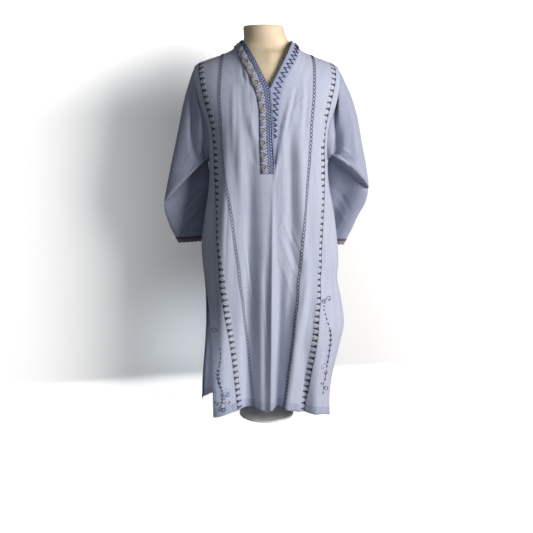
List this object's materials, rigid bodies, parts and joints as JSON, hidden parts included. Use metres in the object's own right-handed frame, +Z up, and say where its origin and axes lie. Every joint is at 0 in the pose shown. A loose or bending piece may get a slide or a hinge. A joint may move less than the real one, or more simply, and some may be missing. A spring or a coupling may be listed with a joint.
{
  "type": "kurta tunic on a dress form",
  "caption": "Long cotton kurta tunic with a V neck, front placket, three-quarter sleeves and side slits, worn by a limbless dress form on a pole and round base.",
  "frame": {"origin": "centre of the underside of the round base plate", "axes": "+Z up along the pole, -Y out of the front of the kurta, +X to the right as the front is seen"},
  "size_m": [0.585, 0.2773, 1.109],
  "materials": {
    "chambray": "light periwinkle cotton chambray, plain weave",
    "plain_band": "plain periwinkle cotton band, deeper than the body",
    "embroidered_band": "cotton band covered with cream, navy and maroon thread",
    "chain_trim": "narrow line of looped thread in navy, maroon and cream",
    "tooth_border": "cream thread ground with navy and maroon teeth",
    "cuff_lace": "maroon and grey cotton lace",
    "form_cover": "smooth cream jersey",
    "stand": "satin white paint"
  },
  "bodies": {
    "root": {"front_panel": "chambray", "back_panel": "chambray", "sleeve_left": "chambray", "sleeve_right": "chambray", "neckband_embroidered": "embroidered_band", "neckband_plain": "plain_band", "neckband_back": "plain_band", "chain_trim_left": "chain_trim", "chain_trim_right": "chain_trim", "tooth_border_left": "tooth_border", "tooth_border_right": "tooth_border", "cuff_lace_left": "cuff_lace", "cuff_lace_right": "cuff_lace", "form_torso": "form_cover", "form_pole": "stand", "form_base": "stand"}
  },
  "joints": []
}
